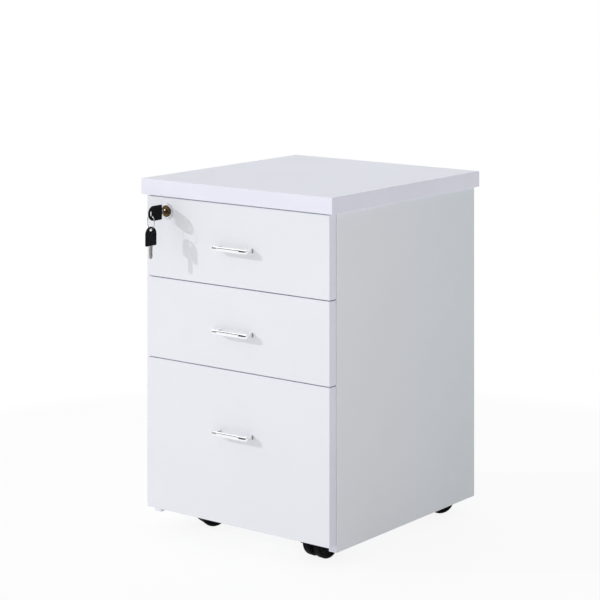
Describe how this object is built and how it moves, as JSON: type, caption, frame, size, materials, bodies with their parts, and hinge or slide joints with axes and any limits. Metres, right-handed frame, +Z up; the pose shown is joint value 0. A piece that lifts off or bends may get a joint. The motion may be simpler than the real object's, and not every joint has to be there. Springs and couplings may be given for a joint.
{
  "type": "rolling pedestal cabinet",
  "caption": "White laminate under-desk pedestal with box drawers over a deep file drawer, strap handles, keyed central lock, overhanging top and twin-wheel casters.",
  "frame": {"origin": "on the floor, at the bottom centre of the whole object's box, keys included", "axes": "+Z up, +Y from the drawer fronts to the back, +X to the right of someone facing the drawers"},
  "size_m": [0.419, 0.4964, 0.616],
  "materials": {
    "laminate_top": "white melamine laminate, fine satin, tinted edge strip",
    "laminate_front": "white melamine laminate, satin",
    "laminate_carcass": "white melamine laminate, satin",
    "drawer_board": "white melamine board",
    "drawer_bottom_board": "white faced hardboard",
    "handle_chrome": "polished chrome",
    "zinc_screw": "bright zinc plated",
    "runner_steel": "zinc plated rolled steel",
    "beech_dowel": "beech",
    "cam_zinc": "die cast zinc",
    "guide_plastic": "white moulded plastic",
    "caster_plate_steel": "black zinc plated steel",
    "lock_bar_aluminium": "mill finish",
    "lock_chrome": "bright nickel",
    "lock_brass": "worn brass",
    "key_black": "black moulded bow over a steel blade",
    "ring_steel": "bright steel wire",
    "caster_nylon": "black nylon, fine texture",
    "axle_steel": "drawn steel",
    "wheel_nylon": "black nylon"
  },
  "bodies": {
    "cabinet": {"top_panel": "laminate_top", "side_panel_left": "laminate_carcass", "side_panel_right": "laminate_carcass", "back_panel": "laminate_carcass", "bottom_panel": "laminate_carcass", "carcass_dowels": "beech_dowel", "cam_discs": "cam_zinc", "cam_bolts": "cam_zinc", "runner_cabinet_members": "runner_steel", "cabinet_screws": "zinc_screw", "lock_bar_guides": "guide_plastic", "caster_plates": "caster_plate_steel"},
    "lock_bar": {"lock_bar": "lock_bar_aluminium"},
    "drawer_top": {"drawer_top_front": "laminate_front", "drawer_top_box_sides": "drawer_board", "drawer_top_box_back": "drawer_board", "drawer_top_box_bottom": "drawer_bottom_board", "drawer_top_handle": "handle_chrome", "drawer_top_screws": "zinc_screw", "drawer_top_runner_members": "runner_steel", "lock_housing": "lock_chrome", "lock_nut": "lock_chrome"},
    "runner_middles_top": {"drawer_top_runner_middles": "runner_steel"},
    "drawer_middle": {"drawer_middle_front": "laminate_front", "drawer_middle_box_sides": "drawer_board", "drawer_middle_box_back": "drawer_board", "drawer_middle_box_bottom": "drawer_bottom_board", "drawer_middle_handle": "handle_chrome", "drawer_middle_screws": "zinc_screw", "drawer_middle_runner_members": "runner_steel"},
    "runner_middles_middle": {"drawer_middle_runner_middles": "runner_steel"},
    "drawer_file": {"drawer_file_front": "laminate_front", "drawer_file_box_sides": "drawer_board", "drawer_file_box_back": "drawer_board", "drawer_file_box_bottom": "drawer_bottom_board", "drawer_file_handle": "handle_chrome", "drawer_file_screws": "zinc_screw", "drawer_file_runner_members": "runner_steel"},
    "runner_middles_file": {"drawer_file_runner_middles": "runner_steel"},
    "lock_plug": {"lock_plug": "lock_brass", "lock_driver": "cam_zinc", "lock_key": "key_black"},
    "key_ring": {"key_ring": "ring_steel"},
    "spare_key": {"spare_key": "key_black"},
    "caster_fl": {"caster_fl_hood": "caster_nylon", "caster_fl_axle": "axle_steel"},
    "caster_fl_wheel_left": {"caster_fl_wheel_left": "wheel_nylon"},
    "caster_fl_wheel_right": {"caster_fl_wheel_right": "wheel_nylon"},
    "caster_fr": {"caster_fr_hood": "caster_nylon", "caster_fr_axle": "axle_steel"},
    "caster_fr_wheel_left": {"caster_fr_wheel_left": "wheel_nylon"},
    "caster_fr_wheel_right": {"caster_fr_wheel_right": "wheel_nylon"},
    "caster_rl": {"caster_rl_hood": "caster_nylon", "caster_rl_axle": "axle_steel"},
    "caster_rl_wheel_left": {"caster_rl_wheel_left": "wheel_nylon"},
    "caster_rl_wheel_right": {"caster_rl_wheel_right": "wheel_nylon"},
    "caster_rr": {"caster_rr_hood": "caster_nylon", "caster_rr_axle": "axle_steel"},
    "caster_rr_wheel_left": {"caster_rr_wheel_left": "wheel_nylon"},
    "caster_rr_wheel_right": {"caster_rr_wheel_right": "wheel_nylon"}
  },
  "joints": [
    {"name": "drawer_top_slide", "type": "slide", "parent": "cabinet", "child": "drawer_top", "axis": [0, -1, 0], "range_m": [0, 0.35]},
    {"name": "runner_top_travel", "type": "slide", "parent": "cabinet", "child": "runner_middles_top", "axis": [0, -1, 0], "range_m": [0, 0.175]},
    {"name": "drawer_middle_slide", "type": "slide", "parent": "cabinet", "child": "drawer_middle", "axis": [0, -1, 0], "range_m": [0, 0.35]},
    {"name": "runner_middle_travel", "type": "slide", "parent": "cabinet", "child": "runner_middles_middle", "axis": [0, -1, 0], "range_m": [0, 0.175]},
    {"name": "drawer_file_slide", "type": "slide", "parent": "cabinet", "child": "drawer_file", "axis": [0, -1, 0], "range_m": [0, 0.35]},
    {"name": "runner_file_travel", "type": "slide", "parent": "cabinet", "child": "runner_middles_file", "axis": [0, -1, 0], "range_m": [0, 0.175]},
    {"name": "lock_turn", "type": "hinge", "parent": "drawer_top", "child": "lock_plug", "pos_m": [-0.153, -0.19225, 0.5625], "axis": [0, 1, 0], "range_deg": [0, 90]},
    {"name": "lock_bar_lift", "type": "slide", "parent": "cabinet", "child": "lock_bar", "axis": [0, 0, 1], "range_m": [0, 0.01131]},
    {"name": "key_ring_swing", "type": "hinge", "parent": "lock_plug", "child": "key_ring", "pos_m": [-0.153, -0.23525, 0.56075], "axis": [1, 0, 0], "range_deg": [-50, 15]},
    {"name": "spare_key_swing", "type": "hinge", "parent": "key_ring", "child": "spare_key", "pos_m": [-0.153, -0.23525, 0.53555], "axis": [1, 0, 0], "range_deg": [-33, 15]},
    {"name": "caster_fl_swivel", "type": "hinge", "parent": "cabinet", "child": "caster_fl", "pos_m": [-0.1365, -0.11525, 0.052], "axis": [0, 0, 1], "continuous": true},
    {"name": "caster_fl_roll_left", "type": "hinge", "parent": "caster_fl", "child": "caster_fl_wheel_left", "pos_m": [-0.12969, -0.10189, 0.025], "axis": [0.891, -0.454, 0], "continuous": true},
    {"name": "caster_fl_roll_right", "type": "hinge", "parent": "caster_fl", "child": "caster_fl_wheel_right", "pos_m": [-0.12969, -0.10189, 0.025], "axis": [0.891, -0.454, 0], "continuous": true},
    {"name": "caster_fr_swivel", "type": "hinge", "parent": "cabinet", "child": "caster_fr", "pos_m": [0.1365, -0.11525, 0.052], "axis": [0, 0, 1], "continuous": true},
    {"name": "caster_fr_roll_left", "type": "hinge", "parent": "caster_fr", "child": "caster_fr_wheel_left", "pos_m": [0.13493, -0.13017, 0.025], "axis": [-0.9945, 0.1045, 0], "continuous": true},
    {"name": "caster_fr_roll_right", "type": "hinge", "parent": "caster_fr", "child": "caster_fr_wheel_right", "pos_m": [0.13493, -0.13017, 0.025], "axis": [-0.9945, 0.1045, 0], "continuous": true},
    {"name": "caster_rl_swivel", "type": "hinge", "parent": "cabinet", "child": "caster_rl", "pos_m": [-0.1365, 0.19675, 0.052], "axis": [0, 0, 1], "continuous": true},
    {"name": "caster_rl_roll_left", "type": "hinge", "parent": "caster_rl", "child": "caster_rl_wheel_left", "pos_m": [-0.1426, 0.21045, 0.025], "axis": [0.9135, 0.4067, 0], "continuous": true},
    {"name": "caster_rl_roll_right", "type": "hinge", "parent": "caster_rl", "child": "caster_rl_wheel_right", "pos_m": [-0.1426, 0.21045, 0.025], "axis": [0.9135, 0.4067, 0], "continuous": true},
    {"name": "caster_rr_swivel", "type": "hinge", "parent": "cabinet", "child": "caster_rr", "pos_m": [0.1365, 0.19675, 0.052], "axis": [0, 0, 1], "continuous": true},
    {"name": "caster_rr_roll_left", "type": "hinge", "parent": "caster_rr", "child": "caster_rr_wheel_left", "pos_m": [0.14614, 0.20824, 0.025], "axis": [0.766, -0.6428, 0], "continuous": true},
    {"name": "caster_rr_roll_right", "type": "hinge", "parent": "caster_rr", "child": "caster_rr_wheel_right", "pos_m": [0.14614, 0.20824, 0.025], "axis": [0.766, -0.6428, 0], "continuous": true}
  ],
  "couplings": [
    {"joint": "runner_top_travel", "follows": "drawer_top_slide", "ratio": 0.5},
    {"joint": "runner_middle_travel", "follows": "drawer_middle_slide", "ratio": 0.5},
    {"joint": "runner_file_travel", "follows": "drawer_file_slide", "ratio": 0.5},
    {"joint": "lock_turn", "follows": "lock_bar_lift", "rad_per_m": 138.84}
  ]
}
